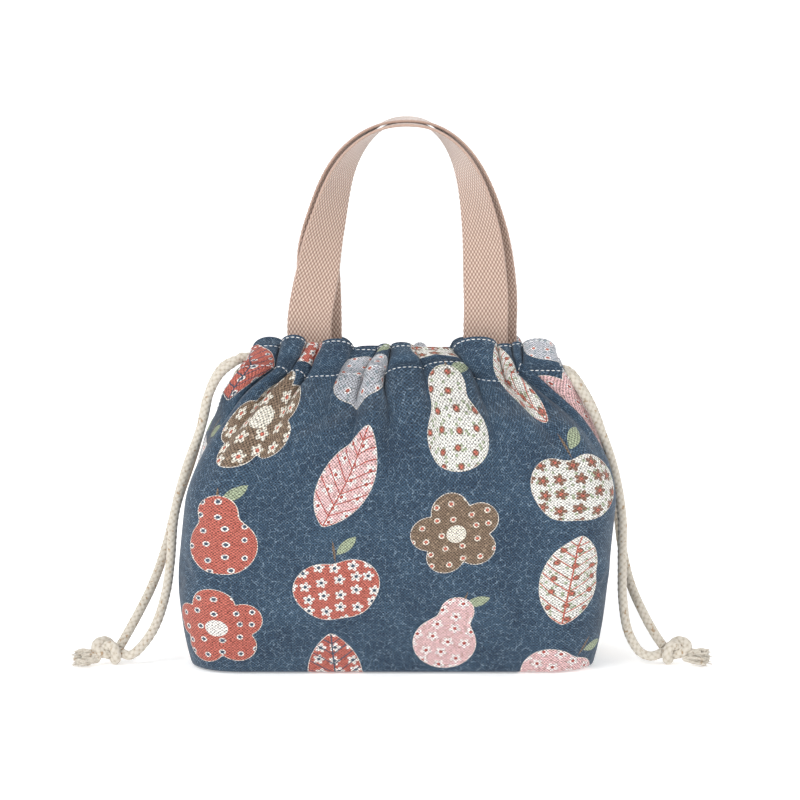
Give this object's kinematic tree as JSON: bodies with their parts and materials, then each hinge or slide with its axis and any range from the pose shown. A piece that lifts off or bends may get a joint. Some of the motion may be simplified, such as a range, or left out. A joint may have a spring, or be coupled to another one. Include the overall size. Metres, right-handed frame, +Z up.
{
  "type": "drawstring bento bag",
  "caption": "Small boxed canvas lunch bag with a gathered drawstring mouth, webbing carrying handles and knotted cotton cords at the sides.",
  "frame": {"origin": "middle of the flat base, at the surface that the bag stands on", "axes": "+Z up, -Y towards the front of the bag, +X to the right as seen from the front"},
  "size_m": [0.3597, 0.15, 0.3027],
  "materials": {
    "canvas": "matte printed cotton canvas",
    "lining": "plain cotton lining",
    "webbing": "woven cotton webbing",
    "cotton_cord": "braided natural cotton"
  },
  "bodies": {
    "bag": {"front_panel": "canvas", "back_panel": "canvas", "front_casing": "canvas", "back_casing": "canvas", "front_lining": "lining", "back_lining": "lining", "front_handle_left_sewn_end": "webbing", "front_handle_right_sewn_end": "webbing", "back_handle_left_sewn_end": "webbing", "back_handle_right_sewn_end": "webbing", "left_cord_loop": "cotton_cord", "right_cord_loop": "cotton_cord"},
    "front_handle": {"front_handle": "webbing"},
    "back_handle": {"back_handle": "webbing"},
    "left_cord": {"left_cord_front_tail": "cotton_cord", "left_cord_back_tail": "cotton_cord", "left_cord_knot": "cotton_cord", "left_cord_frayed_ends": "cotton_cord"},
    "right_cord": {"right_cord_front_tail": "cotton_cord", "right_cord_back_tail": "cotton_cord", "right_cord_knot": "cotton_cord", "right_cord_frayed_ends": "cotton_cord"}
  },
  "joints": [
    {"name": "front_handle_swing", "type": "hinge", "parent": "bag", "child": "front_handle", "pos_m": [0, -0.0051, 0.187], "axis": [1, 0, 0], "range_deg": [0, 120]},
    {"name": "back_handle_swing", "type": "hinge", "parent": "bag", "child": "back_handle", "pos_m": [0, 0.0051, 0.187], "axis": [-1, 0, 0], "range_deg": [0, 120]},
    {"name": "left_cord_pull", "type": "slide", "parent": "bag", "child": "left_cord", "axis": [-1, 0, 0], "range_m": [0, 0.05]},
    {"name": "right_cord_pull", "type": "slide", "parent": "bag", "child": "right_cord", "axis": [1, 0, 0], "range_m": [0, 0.05]}
  ]
}
